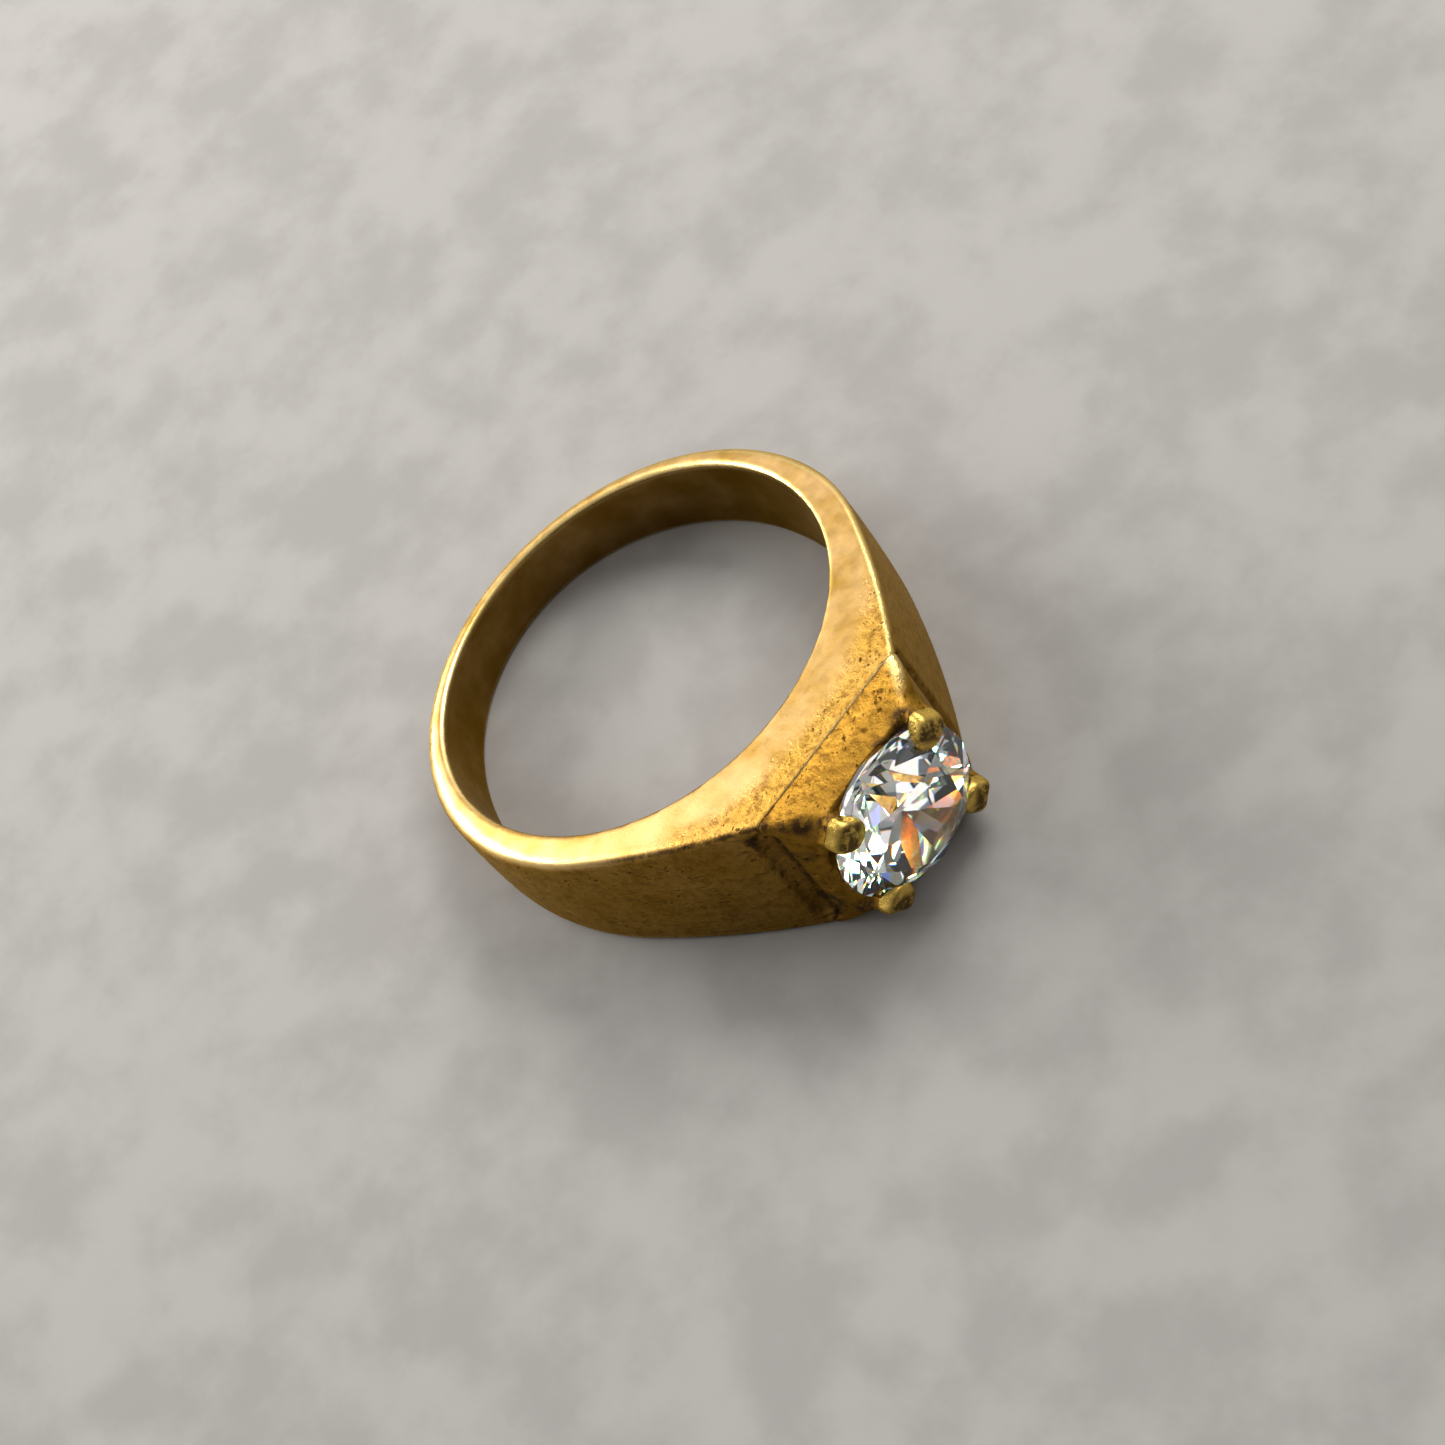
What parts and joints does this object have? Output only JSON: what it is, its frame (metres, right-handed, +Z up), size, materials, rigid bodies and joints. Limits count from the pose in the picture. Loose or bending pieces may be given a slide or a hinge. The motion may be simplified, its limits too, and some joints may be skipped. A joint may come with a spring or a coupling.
{
  "type": "engagement ring",
  "caption": "Tapered finger ring lying on its side: a band that widens to a box collet, with bent claws holding a round brilliant-cut stone.",
  "frame": {"origin": "centre of the finger hole, on its axis, halfway across the ring's width", "axes": "the ring lies on its side: +Z up from the side it rests on, the stone faces -Y and slightly up, +X to the right seen from the stone; the finger hole's axis leans from +Z towards +Y by the taper of the side, 6.3 degrees"},
  "size_m": [0.0204, 0.0249, 0.0076],
  "materials": {
    "shank_gold": "worn satin gold plate, polished on the inner rim and the band's edges, pitted near the head",
    "collet_gold": "cast and lightly filed, orange gold with pits and tarnish in the corners",
    "claw_gold": "burnished bright on top, oxidised dark on the outside",
    "clear_stone": "clear, polished flat facets"
  },
  "bodies": {
    "root": {"shank": "shank_gold", "collet": "collet_gold", "claw_1": "claw_gold", "claw_2": "claw_gold", "claw_3": "claw_gold", "claw_4": "claw_gold", "stone": "clear_stone"}
  },
  "joints": []
}
